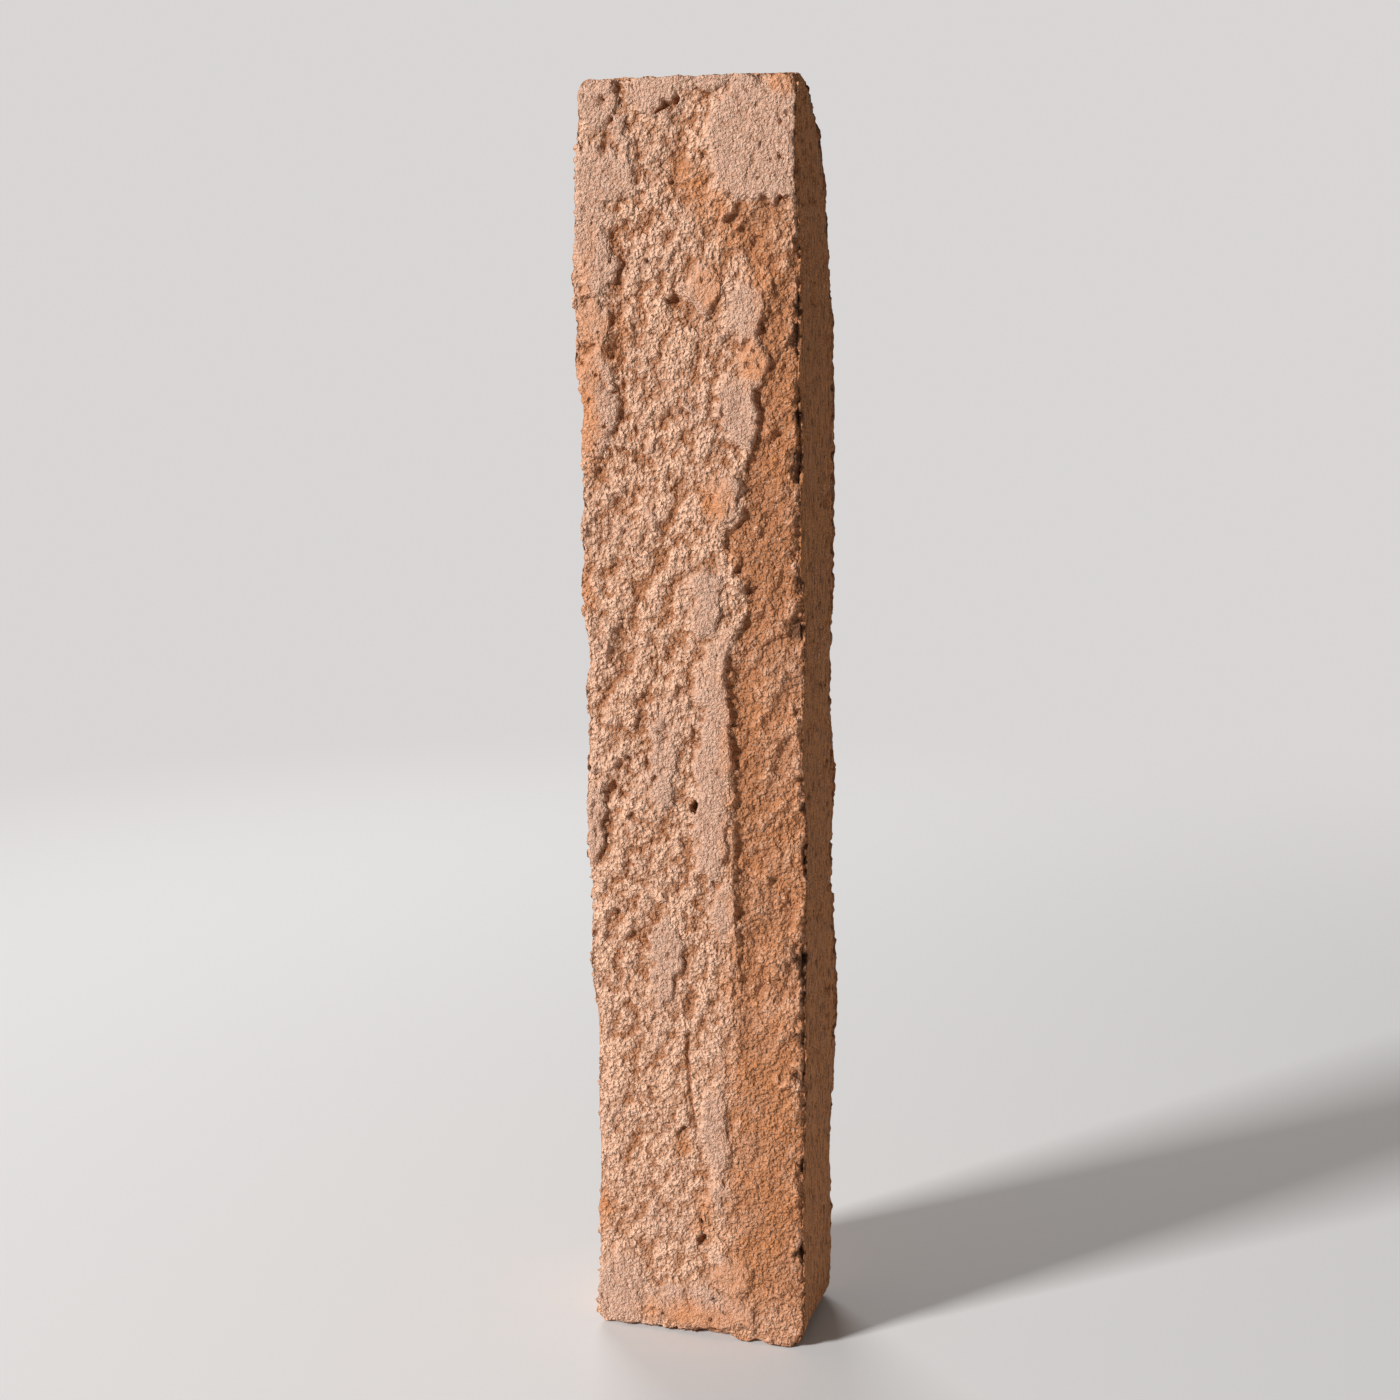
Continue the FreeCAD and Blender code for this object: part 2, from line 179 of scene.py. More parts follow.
def grains(places, size, seed):
    """Rounded lumps crowded against each other, from 0 in the seams to 1 on the highest."""
    scaled = places / np.asarray(size, dtype=np.float32)
    cell = np.floor(scaled).astype(np.int64)
    highest = np.zeros(len(places), dtype=np.float32)
    for corner in itertools.product((-1, 0, 1), repeat=places.shape[1]):
        near = cell + np.array(corner)
        value = scramble(seed, near)
        middle = np.stack([bits(value, 10 * axis) for axis in range(places.shape[1])], 1)
        away = np.sum((scaled - near - middle) ** 2, axis=1)
        height = 0.45 + 0.55 * bits(value, 22)
        radius = 0.55 + 0.5 * bits(value, 5)
        highest = np.maximum(highest, height * (1 - away / radius ** 2))
    return highest


def ease(low, high, values):
    """0 up to low, 1 from high on, a smooth step between; turned about if low is the larger."""
    share = np.clip((values - low) / (high - low), 0, 1)
    return share * share * (3 - 2 * share)


def inside(x, z, ellipse):
    """How far inside an ellipse each place is, in millimetres; negative outside."""
    middle_x, middle_z, half_wide, half_tall, lean = ellipse
    turn = math.radians(lean)
    across = (x - middle_x) * math.cos(turn) - (z - middle_z) * math.sin(turn)
    along = (x - middle_x) * math.sin(turn) + (z - middle_z) * math.cos(turn)
    return (1 - np.hypot(across / half_wide, along / half_tall)) * min(half_wide, half_tall)


def dome(x, z, ellipse):
    """A round hill on an ellipse: 1 in its middle, 0 at its rim and outside."""
    half = min(ellipse[2], ellipse[3])
    share = np.clip(inside(x, z, ellipse) / half, 0, 1)
    return share * (2 - share)


def any_inside(x, z, ellipses):
    """How far inside the nearest of several ellipses each place is."""
    return np.max([inside(x, z, ellipse) for ellipse in ellipses], axis=0)


def line_distance(x, z, points):
    """Distance from each place to a line of points."""
    nearest = np.full(len(x), 1e3, dtype=np.float32)
    for (x0, z0), (x1, z1) in zip(points, points[1:]):
        run_x, run_z = x1 - x0, z1 - z0
        along = ((x - x0) * run_x + (z - z0) * run_z) / (run_x ** 2 + run_z ** 2)
        along = np.clip(along, 0, 1)
        nearest = np.minimum(nearest, np.hypot(x - x0 - along * run_x, z - z0 - along * run_z))
    return nearest


# ---- the relief ------------------------------------------------------------------------------

class FaceMap:
    """A map over the hewn face: values on an even grid, in millimetres, read between its cells."""
    step = 0.4                      # the width of a cell
    width, height = 96, 500
    left, foot = -48, -5            # the lower left corner

    def __init__(self, values=None):
        self.wide = int(self.width / self.step)
        self.tall = int(self.height / self.step)
        across = (np.arange(self.wide) + 0.5) * self.step + self.left
        up = (np.arange(self.tall) + 0.5) * self.step + self.foot
        x, z = np.meshgrid(across, up)
        self.x = x.ravel().astype(np.float32)
        self.z = z.ravel().astype(np.float32)
        self.values = values

    def blurred(self, radius):
        """The map smoothed over a radius in millimetres."""
        spread = radius / self.step
        reach = int(3 * spread) + 1
        weight = np.exp(-np.arange(-reach, reach + 1) ** 2 / (2 * spread ** 2))
        weight /= weight.sum()
        sheet = np.pad(self.values.reshape(self.tall, self.wide), reach, mode="edge")
        for axis in (0, 1):
            sheet = sum(part * np.roll(sheet, shift, axis)
                        for part, shift in zip(weight, range(-reach, reach + 1)))
        return FaceMap(sheet[reach:-reach, reach:-reach].ravel().astype(np.float32))

    def at(self, x, z):
        """The values at places on the face."""
        across = np.clip((x - self.left) / self.step - 0.5, 0, self.wide - 1.001)
        up = np.clip((z - self.foot) / self.step - 0.5, 0, self.tall - 1.001)
        column, row = across.astype(np.int64), up.astype(np.int64)
        over, above = across - column, up - row
        near = row * self.wide + column
        low = self.values[near] * (1 - over) + self.values[near + 1] * over
        high = self.values[near + self.wide] * (1 - over) + self.values[near + self.wide + 1] * over
        return low * (1 - above) + high * above


def cad_depths(cad_body):
    """How deep the CAD body's front lies below its foremost plane, all over the face."""
    tree = BVHTree.FromBMesh(cad_body)
    sheet = FaceMap()
    ahead = Vector((0, 1, 0))
    clearance = 0.001
    start = LOW.y - clearance
    middle = (LOW.x + HIGH.x) / 2 + FACE_MIDDLE / MM
    depths = np.full(len(sheet.x), NO_FACE, dtype=np.float32)
    for index, (x, z) in enumerate(zip(sheet.x.tolist(), sheet.z.tolist())):
        distance = tree.ray_cast(Vector((middle + x / MM, start, LOW.z + z / MM)), ahead)[3]
        if distance is not None:
            depths[index] = (distance - clearance) * MM
    sheet.values = depths
    return sheet


class ClayForm:
    """The body being worked, the CAD face's depths, and how wide the face is at each height."""

    def __init__(self, body, depths):
        self.body = body
        self.depths = depths
        solid = depths.values.reshape(depths.tall, depths.wide) < FACE_REACH
        across = depths.x.reshape(depths.tall, depths.wide)
        self.left = np.where(solid, across, depths.width).min(1)
        self.right = np.where(solid, across, -depths.width).max(1)

    def vectors(self, name):
        """A vector at every vertex of the body, such as its place or its normal."""
        values = np.empty(len(self.body.vertices) * 3, dtype=np.float32)
        self.body.vertices.foreach_get(name, values)
        return values.reshape(-1, 3)

    def mark(self, name, values):
        """Writes a mark from 0 to 1 at every vertex."""
        layer = self.body.attributes.new(name, "FLOAT", "POINT")
        layer.data.foreach_set("value", np.clip(values, 0, 1).astype(np.float32))

    def back_edge(self, z, sunk, normals):
        """How far in front of the right side's back edge each place is, worn corner and all."""
        row = np.clip(z.astype(np.int64), 0, int((HIGH.z - LOW.z) * MM) - 1)
        flat_side = normals[:, 0] > 0.9
        edge = np.zeros(row.max() + 1, dtype=np.float32)
        np.maximum.at(edge, row[flat_side], sunk[flat_side])
        return edge[row] - sunk

    def row(self, z):
        """The map's row at each height."""
        row = ((z - self.depths.foot) / self.depths.step).astype(np.int64)
        return np.clip(row, 0, self.depths.tall - 1)

    def right_inset(self, x, z):
        """How far inside the face's right edge each place is."""
        return self.right[self.row(z)] - x

    def inset(self, x, z):
        """How far inside the face's outline each place is."""
        tall = (HIGH.z - LOW.z) * MM
        side = np.minimum(x - self.left[self.row(z)], self.right_inset(x, z))
        return np.minimum(side, np.minimum(z, tall - z))


def skin_cover(x, z, sunk):
    """Where the smooth moulded skin is left on the hewn face: 1 on it and 0 where it is torn."""
    flat = np.stack([x, z], 1)
    ragged = noise(flat, (10, 13), 11) * 3.2 + noise(flat, (4.4, 5.4), 12) * 2.2
    ragged += noise(flat, (1.9, 2.3), 13) * 1.0
    field = np.maximum(any_inside(x, z, SKIN), -3.0) + ragged
    field -= ease(0.8, 1.4, sunk) * 9
    soft = 0.5 + 2.6 * ease(-0.2, 0.5, noise(flat, (14, 18), 14))
    worn = ease(0.45, 0.75, noise(flat, (2.4, 3.2), 15) + 0.4 * noise(flat, (1.2, 1.4), 16))
    return ease(-1, 1, field / soft) * (1 - 0.75 * worn)


def hewn_depth(x, z, sunk, cover):
    """Depth of the relief below the CAD face, in millimetres."""
    leaning = np.stack([x - 0.4 * z, z * 0.9], 1)
    flat = np.stack([x, z], 1)
    bend = noise(flat, (5, 6), 20)
    clumps = grains(leaning + bend[:, None] * 1.2, (5.6, 8.5), 21)
    lumps = grains(flat + bend[:, None] * 0.8, (2.7, 3.4), 22)
    crumbs = grains(flat, (1.45, 1.7), 23)
    torn = 3.0 - 1.7 * clumps - 1.5 * lumps - 0.5 * crumbs
    torn += 1.2 * noise(leaning, (9, 17), 24) + 0.7 * noise(flat, (19, 30), 25)
    torn += 0.3 * noise(flat, (1.3, 1.5), 26)
    torn = np.maximum(torn, 0.1)
    torn *= 1 + 0.25 * ease(-12, -26, x) + 0.15 * ease(0.8, 1.4, sunk)
    torn *= 1 - 0.35 * ease(150, 100, z)
    skin = 0.9 + 0.5 * noise(flat, (8, 12), 27) + 0.35 * noise(flat, (2.6, 3.0), 28)
    skin += 0.2 * noise(flat, (1.1, 1.3), 29) - 0.3 * crumbs - 0.6 * lumps
    skin += 0.5 * ease(0.6, 0.95, noise(flat, (1.9, 2.5), 30))
    depth = torn + (skin - torn) * cover
    depth *= 0.25 + 0.75 * ease(3, 15, z)
    for ellipse, height in LUMPS:
        depth -= height * dome(x, z, ellipse)
    for ellipse, sink in DENTS:
        depth += sink * dome(x, z, ellipse)
    depth += 2.2 * ease(0, 0.7, any_inside(x, z, HOLES))
    wander = 1 + 0.4 * noise(flat, (2.5, 3.5), 37)
    for points, half, sink in GROOVES:
        depth += sink * ease(0, 1, 1.3 - line_distance(x, z, points) / (half * wander))
    return np.maximum(depth, 0.05)


def shadowed_chip_field(x, z):
    """How far inside the chips of the edge each place is, with ragged rims; the chips are painted
    dark, mostly as their shadow and partly as dark crumbs.
    """
    flat = np.stack([x, z], 1)
    return (any_inside(x, z, SHADOWED_CHIPS) - 0.3 + noise(flat, (2.6, 3.2), 74) * 2.0
            + noise(flat, (1.2, 1.4), 76) * 1.0)


def side_depth(y, z, places):
    """Relief of the smoother sides: drag marks up the length, small pores and a slow wave."""
    along = np.stack([y, z], 1)
    depth = 0.3 + 0.14 * noise(along, (1.6, 34), 31) + 0.1 * noise(along, (0.9, 9), 32)
    depth += 0.25 * noise(along, (16, 44), 33)
    pores = noise(along, (2.6, 5.4), 34) + 0.35 * noise(along, (1.1, 2.0), 35)
    depth += 1.0 * ease(0.5, 0.8, pores)
    depth += 0.9 * ease(0.5, 0.75, noise(along, (9, 7), 38))
    return np.maximum(depth + 0.14 * noise(places, 1.3, 36), 0.03)


def back_depth(x, z):
    """Relief of the back: struck off rough, with a skin over most of it."""
    flat = np.stack([x, z], 1)
    cover = ease(-0.25, 0.25, noise(flat, (22, 34), 41) + 0.5 * noise(flat, (5, 8), 42) + 0.1)
    rough = 2.3 - 1.3 * grains(flat, (5.0, 6.8), 43) - 1.1 * grains(flat, (2.6, 3.2), 44)
    rough += 0.8 * noise(flat, (9, 14), 48) + 0.25 * noise(flat, (1.4, 1.6), 45)
    skin = 0.8 + 0.6 * noise(flat, (10, 14), 46) + 0.4 * noise(flat, (2.4, 3), 47)
    skin += 0.9 * ease(0.45, 0.8, noise(flat, (3.2, 4.5), 49))
    return np.maximum(rough + (skin - rough) * cover, 0.05), cover


def end_depth(x, y):
    """Relief of the two ends."""
    flat = np.stack([x, y], 1)
    return (0.7 + 0.3 * noise(flat, (9, 9), 51) + 0.2 * noise(flat, (2.2, 2.2), 52)
            - 0.45 * grains(flat, (3.0, 3.0), 53))


def lip_depth(places, reach):
    """Raggedness of the edges of the hewn face and the back, fading over the reach of the lip."""
    right = ease(0, 1, places[:, 0])
    rough = 0.9 - 0.4 * grains(places, (2.8, 2.8, 3.4), 61) + 0.5 * noise(places, 2.0, 63)
    rough += (0.7 + 0.3 * right) * noise(places, (5, 5, 8), 62)
    rough += (0.4 + 1.3 * right) * ease(0.22, 0.45, noise(places, (6, 6, 4.2), 64))
    return np.maximum(rough, 0) * reach * (0.45 + 0.55 * ease(3, 12, places[:, 2]))


def break_depth(places):
    """Relief where the back corner has broken away."""
    rough = 2.2 - 1.3 * grains(places, (5, 5, 7), 65) - 0.9 * grains(places, 2.6, 66)
    rough += 0.8 * noise(places, (9, 9, 14), 67) + 2.4 * noise(places, (19, 19, 24), 68)
    return np.maximum(rough, 0.05)


def work_face(form):
    """The hewn face, worked as one map so that the CAD body's clean steps come out torn.

    Gives the CAD body's own depths, the skin's cover, the finished depths, and how far each
    place lies below its surroundings.
    """
    sheet = form.depths
    flat = np.stack([sheet.x, sheet.z], 1)
    # The band's step is lower up the face and fades out above the foot, and so is the step
    # at the upper left.
    shallow = 1 - 0.35 * ease(295, 325, sheet.z)
    shallow *= 1 - 0.85 * ease(158, 126, sheet.z) * ease(10, 15, sheet.x)
    upper_left = ease(335, 350, sheet.z) * ease(-14, -20, sheet.x) * ease(-36, -30, sheet.x)
    shallow *= 1 - 0.5 * upper_left
    near = FaceMap(np.minimum(sheet.values, DEEPEST_CUT) * shallow).blurred(0.5)
    shift_x = noise(flat, (3.4, 4.2), 81) * 1.1 + noise(flat, (1.6, 2.0), 82) * 0.8
    shift_z = noise(flat, (3.4, 4.2), 83) * 1.7 + noise(flat, (1.6, 2.0), 84) * 0.8
    worn = near.at(sheet.x + shift_x, sheet.z + shift_z)
    cover = FaceMap(skin_cover(sheet.x, sheet.z, worn))
    relief = hewn_depth(sheet.x, sheet.z, worn, cover.values)

    # The right edge is rounded off and bitten, less so at the top.
    right = form.right_inset(sheet.x, sheet.z)
    below = 1 - 0.75 * ease(432, 442, sheet.z)
    relief += 1.7 * np.clip(1 - right / 3.4, 0, 1) ** 2 * below
    bites = ease(0.05, 0.5, noise(flat, (3.2, 4.4), 85) + 0.4 * noise(flat, (1.6, 2.0), 86))
    relief += 1.5 * bites * np.clip(1.3 - right / 4.2, 0, 1) * below
    relief += ease(-0.6, 0.8, shadowed_chip_field(sheet.x, sheet.z))
    hewn = FaceMap(worn + relief)
    return near, cover, hewn, FaceMap(hewn.values - hewn.blurred(3.5).values)


def zones(form, x, z, sunk, normals):
    """How much each place belongs to the hewn face, its rim, the back, the ends and the sides."""
    first = np.abs(form.depths.at(x, z) - sunk) < 1.2
    open_face = ease(-0.35, 0.1, -normals[:, 1]) * ease(0.6, 2.6, form.inset(x, z))
    face = np.where((first | (normals[:, 1] < -0.8)) & (sunk < FACE_REACH), open_face, 0)
    front = ease(0.35, 0.85, -normals[:, 1]) * (1 - ease(5, 9, sunk)) * (1 - face)
    back = ease(0.35, 0.85, normals[:, 1])
    ends = ease(0.5, 0.9, np.abs(normals[:, 2])) * (1 - face)
    return face, front, back, ends, np.clip(1 - face - front - back - ends, 0, 1)


def glow_field(x, z, sunk):
    """How orange each place of the hewn face is: the rubbed patches and the sunken band."""
    flat = np.stack([x, z], 1)
    ragged = noise(flat, (8, 11), 71) * 2.4 + noise(flat, (2.6, 3.4), 72) * 1.2
    glow = ease(-2.5, 3.0, any_inside(x, z, ORANGE) + ragged)
    glow = np.maximum(glow, ease(0.9, 1.5, sunk) * (0.75 + 0.25 * noise(flat, (6, 9), 73)))
    low_band = ease(8, 18, x + 4 * noise(flat, (5, 8), 77)) * ease(290, 250, z)
    return np.maximum(glow, 0.8 * low_band)


def painted_band_shade(x, z, sunk):
    """How dark the painted shade in the sunken band is: most in its upper part."""
    upper = ease(270, 310, z) * (1 - ease(400, 430, z))
    band = np.maximum(ease(0.7, 1.3, sunk), ease(150, 130, z)) * ease(14, 22, x)
    return band * (0.9 + 0.9 * upper) * ease(5, 30, z)


def painted_edge_shade(x, z, inset):
    """How dark the painted shade along the right edge of the hewn face is, in patches."""
    painted_shade = (1 - ease(1.0, 6.0, inset)) * (1 - ease(425, 445, z))
    return painted_shade * ease(-0.45, 0.25, noise(np.stack([x, z], 1), (4, 7), 78))


def shape_clay(form):
    """Moves every vertex in by its relief and writes the marks that the clay's colour reads,
    painted shade among them.
    """
    places, normals = form.vectors("co"), form.vectors("normal")
    x = (places[:, 0] - (LOW.x + HIGH.x) / 2) * MM - FACE_MIDDLE
    z = (places[:, 2] - LOW.z) * MM
    sunk = (places[:, 1] - LOW.y) * MM
    behind = (HIGH.y - places[:, 1]) * MM
    clay = np.stack([x, sunk, z], 1)
    near, cover, hewn, hollow = work_face(form)
    face, front, back, ends, sides = zones(form, x, z, sunk, normals)

    back_relief, back_cover = back_depth(x, z)
    rim = np.where(x > 0, form.back_edge(z, sunk, normals), behind)
    lip = lip_depth(clay, np.maximum(1 - ease(0.5, 5, sunk), 1 - ease(0.5, 7, np.abs(rim))))
    depth = front * (hewn.at(x, z) - near.at(x, z)) + back * back_relief
    depth += ends * (end_depth(x, sunk) + 0.5 * lip) + sides * (side_depth(sunk, z, clay) + lip)
    broken = ease(0.15, 0.35, normals[:, 0]) * ease(0.12, 0.3, normals[:, 1]) * ease(375, 400, z)
    depth += broken * (break_depth(clay) - depth)
    places -= normals * (depth / MM)[:, None]
    level = LOW.y + hewn.at(x, z) / MM
    places[:, 1] += face * (level - places[:, 1])
    # No rim is left standing in front of the face just inside it.
    pull = np.clip(0.9 - form.inset(x, z), 0, 6)
    level = LOW.y + hewn.at(x - np.sign(x) * pull, z) / MM
    places[:, 1] = np.where(sunk < 8, np.maximum(places[:, 1], level), places[:, 1])
    places[:, 2] = np.maximum(places[:, 2], LOW.z)
    form.body.vertices.foreach_set("co", places.ravel())

    sunk = near.at(x, z)
    facing = np.clip(face + front, 0, 1)
    # Painted shadow in the edge's chips, with some dark crumbs; none where a place lies well behind
    # the face.
    chip_and_hole_shadow = ease(-0.25, 0.35, shadowed_chip_field(x, z) + noise(clay, 1.4, 75) * 0.6)
    chip_and_hole_shadow *= 1 - ease(0.8, 2.8, (places[:, 1] - level) * MM)
    # Places lying below their surroundings take painted shade, along with the deeper orange clay.
    dip = facing * hollow.at(x, z) + (1 - facing) * (depth - 0.8) * 0.6
    # Painted shade in the sunken band's upper part and along the right edge of the face.
    painted_shade = 0.32 * painted_band_shade(x, z, sunk) + 0.75 * painted_edge_shade(x, z, form.right_inset(x, z))
    # Painted shade along the right side's back edge, where the side turns away from the light; the
    # left side is evenly a little darker.
    back_edge_shade_and_left_tone = sides * np.where(x > 0, 0.95 * (1 - ease(1.2, 4.5, rim)), 0.62)
    orange_sides = sides * np.where(x > 0, 0.8, 0.35)
    form.mark("skin", (facing * cover.at(x, z) + back * back_cover + sides * 0.5) * (1 - broken))
    form.mark("glow", facing * glow_field(x, z, sunk) + orange_sides + back * 0.3 + broken * 0.4)
    # The hollow mark: painted shade in hollows and dips, the sunken band and the edges, with the
    # deeper orange clay.
    form.mark("hollow", np.maximum(0.5 + 0.45 * dip + facing * painted_shade, back_edge_shade_and_left_tone))
    # Painted shadow in the chips and the small holes.
    form.mark("chip_and_hole_shadow", np.maximum(chip_and_hole_shadow, facing * ease(-0.3, 0.3, any_inside(x, z, HOLES))))
    form.mark("side", (sides * np.where(x > 0, 1, 0.45) + ends * 0.7) * (1 - broken))


# ---- materials -------------------------------------------------------------------------------

class Value:
    """A socket's output that is worked on with ordinary arithmetic."""

    def __init__(self, tree, socket):
        self.tree = tree
        self.socket = socket

    def math(self, operation, *others):
        """This value and others through one Math node."""
        return self.tree.node("ShaderNodeMath", {"operation": operation},
                              {index: part for index, part in enumerate((self,) + others)})

    def __add__(self, other):
        return self.math("ADD", other)

    __radd__ = __add__

    def __sub__(self, other):
        return self.math("SUBTRACT", other)

    def __rsub__(self, other):
        return self.tree.node("ShaderNodeMath", {"operation": "SUBTRACT"}, {0: other, 1: self})

    def __mul__(self, other):
        return self.math("MULTIPLY", other)

    __rmul__ = __mul__

    def sibling(self, name):
        """Another output of the same node."""
        return Value(self.tree, self.socket.node.outputs[name])

    def step(self, low, high):
        """0 up to low, 1 from high on, a smooth step between; turned about if low is larger."""
        return self.tree.node("ShaderNodeMapRange", {"interpolation_type": "SMOOTHSTEP"},
                              {"Value": self, "From Min": low, "From Max": high})


class Nodes:
    """A node tree that is built up one node at a time."""

    def __init__(self, owner):
        owner.use_nodes = True
        self.tree = owner.node_tree

    def node(self, kind, settings=None, values=None, output=0):
        """A node with its settings, and with values or links on its sockets."""
        made = self.tree.nodes.new(kind)
        for name, setting in (settings or {}).items():
            setattr(made, name, setting)
        for name, value in (values or {}).items():
            self.set(self.live(made.inputs, name), value)
        return Value(self, self.live(made.outputs, output))

    def live(self, sockets, name):
        """The socket of a name or number; of several with one name, the one in use."""
        if isinstance(name, int):
            return sockets[name]
        return next(socket for socket in sockets if socket.name == name and socket.enabled)

    def set(self, socket, value):
        """Links a value to a socket, or sets the socket to a plain number or colour."""
        if isinstance(value, Value):
            self.tree.links.new(value.socket, socket)
        else:
            socket.default_value = value


class Shader(Nodes):
    """A material's node tree, with its Principled surface."""

    def __init__(self, name):
        self.material = bpy.data.materials.new(name)
        super().__init__(self.material)
        self.surface = self.tree.nodes["Principled BSDF"]

    def mark(self, name):
        """A mark that the mesh carries at each vertex."""
        return self.node("ShaderNodeAttribute", {"attribute_name": name}, output="Fac")

    def place(self, scale=(1, 1, 1)):
        """The place on the piece in millimetres, stretched by a scale."""
        spot = self.node("ShaderNodeTexCoord", output="Object")
        size = [MM * part for part in scale]
        return self.node("ShaderNodeMapping", {}, {"Vector": spot, "Scale": size})

    def cloud(self, size, detail=3.0, rough=0.6, scale=(1, 1, 1)):
        """Soft noise from about 0.3 to 0.7 with grains of a size in millimetres."""
        return self.node("ShaderNodeTexNoise", {"noise_dimensions": "3D"},
                         {"Vector": self.place(scale), "Scale": 1 / size, "Detail": detail,
                          "Roughness": rough})

    def cells(self, size):
        """Crowded grains of a size in millimetres: 0 in their middles and about 1 in the seams."""
        return self.node("ShaderNodeTexVoronoi", {"voronoi_dimensions": "3D", "feature": "F1"},
                         {"Vector": self.place(), "Scale": 1 / size})

    def mix(self, share, first, second):
        """One colour turning into another by a share."""
        return self.node("ShaderNodeMix", {"data_type": "RGBA"},
                         {"Factor": share, "A": first, "B": second}, "Result")


def clay_material(clay):
    """Fired clay: pinkish skin, orange where it is torn or rubbed, sandy grain all over, and
    painted shade in its hollows, seams, pits, chips and holes.
    """
    shader = Shader("fired_clay")
    skin, glow = shader.mark("skin"), shader.mark("glow")
    hollow, chip_and_hole_shadow, side = shader.mark("hollow"), shader.mark("chip_and_hole_shadow"), shader.mark("side")
    broad = shader.cloud(24.0, 2.0)
    patchy = shader.cloud(5.0, 4.0)
    sand = shader.cloud(0.9, 2.0, 0.6)
    crumb = shader.cells(1.3)
    torn_grain = shader.cells(2.2) * 0.85 + shader.cloud(2.4, 2.0) * 1.1
    torn_grain = torn_grain + crumb * 0.6 + sand * 0.9
    skin_grain = crumb * 0.4 + sand * 1.1 + shader.cloud(1.8, 2.0).step(0.42, 0.3) * 0.5
    skin_grain = skin_grain * (1 - glow * 0.35)
    # Painted shade in small pits between the grains, along with their deeper colour.
    pits = shader.cloud(1.15, 3.0, 0.7).step(0.45, 0.36)
    side_grain = crumb * 0.35 + sand * 0.9 + shader.cloud(1.3, 3.0, 0.6, (1, 1, 0.1)) * 0.9
    grain = torn_grain + (skin_grain - torn_grain) * skin
    grain = grain + (side_grain - grain) * side
    # The grain's low seams, which take painted shade along with the deeper orange.
    seams = torn_grain.step(1.65, 2.15) * (1 - skin * 0.5)
    pore_shadow = shader.cloud(1.5, 3.0, 0.7, (1, 1, 0.35)).step(0.49, 0.39)
    lines = shader.cloud(1.4, 4.0, 0.75, (1, 1, 0.14)).step(0.42, 0.6)

    # Torn clay darkens by the hollow mark: painted shade, with the hollows' deeper orange.
    torn = shader.mix(hollow.step(0.35, 0.8), tuple(clay.torn_colour), tuple(clay.hollow_and_shade_colour))
    colour = shader.mix(glow * (patchy.step(0.3, 0.6) * 0.6 + 0.4), torn, tuple(clay.glow_colour))
    skinned = shader.mix(glow * 0.8, tuple(clay.skin_colour), tuple(clay.glow_colour))
    colour = shader.mix(skin * 0.85, colour, skinned)
    colour = shader.mix(broad.step(0.42, 0.66) * 0.35, colour, tuple(clay.rosy_colour))
    # Painted shade with the deeper orange clay: by the hollow mark, in the grain's low seams and in
    # small pits.
    colour = shader.mix(hollow.step(0.5, 1.0) * 0.7, colour, tuple(clay.hollow_and_shade_colour))
    colour = shader.mix(seams * 0.7, colour, tuple(clay.hollow_and_shade_colour))
    colour = shader.mix(pits * (1 - skin * 0.4) * 0.7, colour, tuple(clay.pit_shade_colour))
    colour = shader.mix(sand.step(0.54, 0.68) * 0.5 * (1 - glow * 0.35), colour,
                        tuple(clay.pale_grain_colour))
    wiped = shader.mix(lines * 0.55, tuple(clay.side_colour), tuple(clay.streak_and_shade_colour))
    # Painted shade in the sides' dips and along the right side's back edge.
    wiped = shader.mix(hollow.step(0.5, 0.95) * 0.7, wiped, tuple(clay.streak_and_shade_colour))
    wiped = shader.mix(sand.step(0.48, 0.62) * 0.5, wiped, tuple(clay.glow_colour))
    # Painted shadow in the sides' small pores.
    wiped = shader.mix(pore_shadow * 0.75, wiped, tuple(clay.deep_shadow_colour))
    colour = shader.mix(side * 0.85, colour, wiped)
    # Painted shadow in the edge's chips and holes, with some dark crumbs.
    colour = shader.mix(chip_and_hole_shadow * (0.4 + patchy.step(0.3, 0.55) * 0.45), colour,
                        tuple(clay.deep_shadow_colour))
    shader.set(shader.surface.inputs["Base Color"], colour)
    shader.set(shader.surface.inputs["Roughness"], 0.86 + sand * 0.12)
    shader.surface.inputs["Specular IOR Level"].default_value = 0.2

    bump = shader.node("ShaderNodeBump", {}, {"Strength": 1.0, "Distance": clay.grain_height,
                                             "Height": 1 - grain})
    shader.set(shader.surface.inputs["Normal"], bump)
    return shader.material


def floor_material(stage):
    """A pale floor that keeps a shadow and clears into the background far out."""
    shader = Shader("pale_floor")
    surface = shader.surface
    surface.inputs["Base Color"].default_value = tuple(stage.floor_colour)
    surface.inputs["Roughness"].default_value = 0.95
    surface.inputs["Specular IOR Level"].default_value = 0.0
    spot = shader.node("ShaderNodeTexCoord", output="Object")
    radius = shader.node("ShaderNodeVectorMath", {"operation": "LENGTH"}, {0: spot}, "Value")
    mixed = shader.node("ShaderNodeMixShader", {}, {
        0: radius.step(stage.floor_clear_start, stage.floor_clear_end),
        1: Value(shader, surface.outputs[0]), 2: shader.node("ShaderNodeBsdfTransparent")})
    shader.set(shader.tree.nodes["Material Output"].inputs["Surface"], mixed)
    return shader.material


# ---- settings --------------------------------------------------------------------------------

def colour_setting(name, description, default):
    """A colour that the user can change."""
    return bpy.props.FloatVectorProperty(name=name, description=description, default=default,
                                         size=4, min=0, max=1, subtype="COLOR")


def length_setting(name, description, default):
    """A length that the user can change."""
    return bpy.props.FloatProperty(name=name, description=description, default=default, min=0,
                                   unit="LENGTH", precision=4)


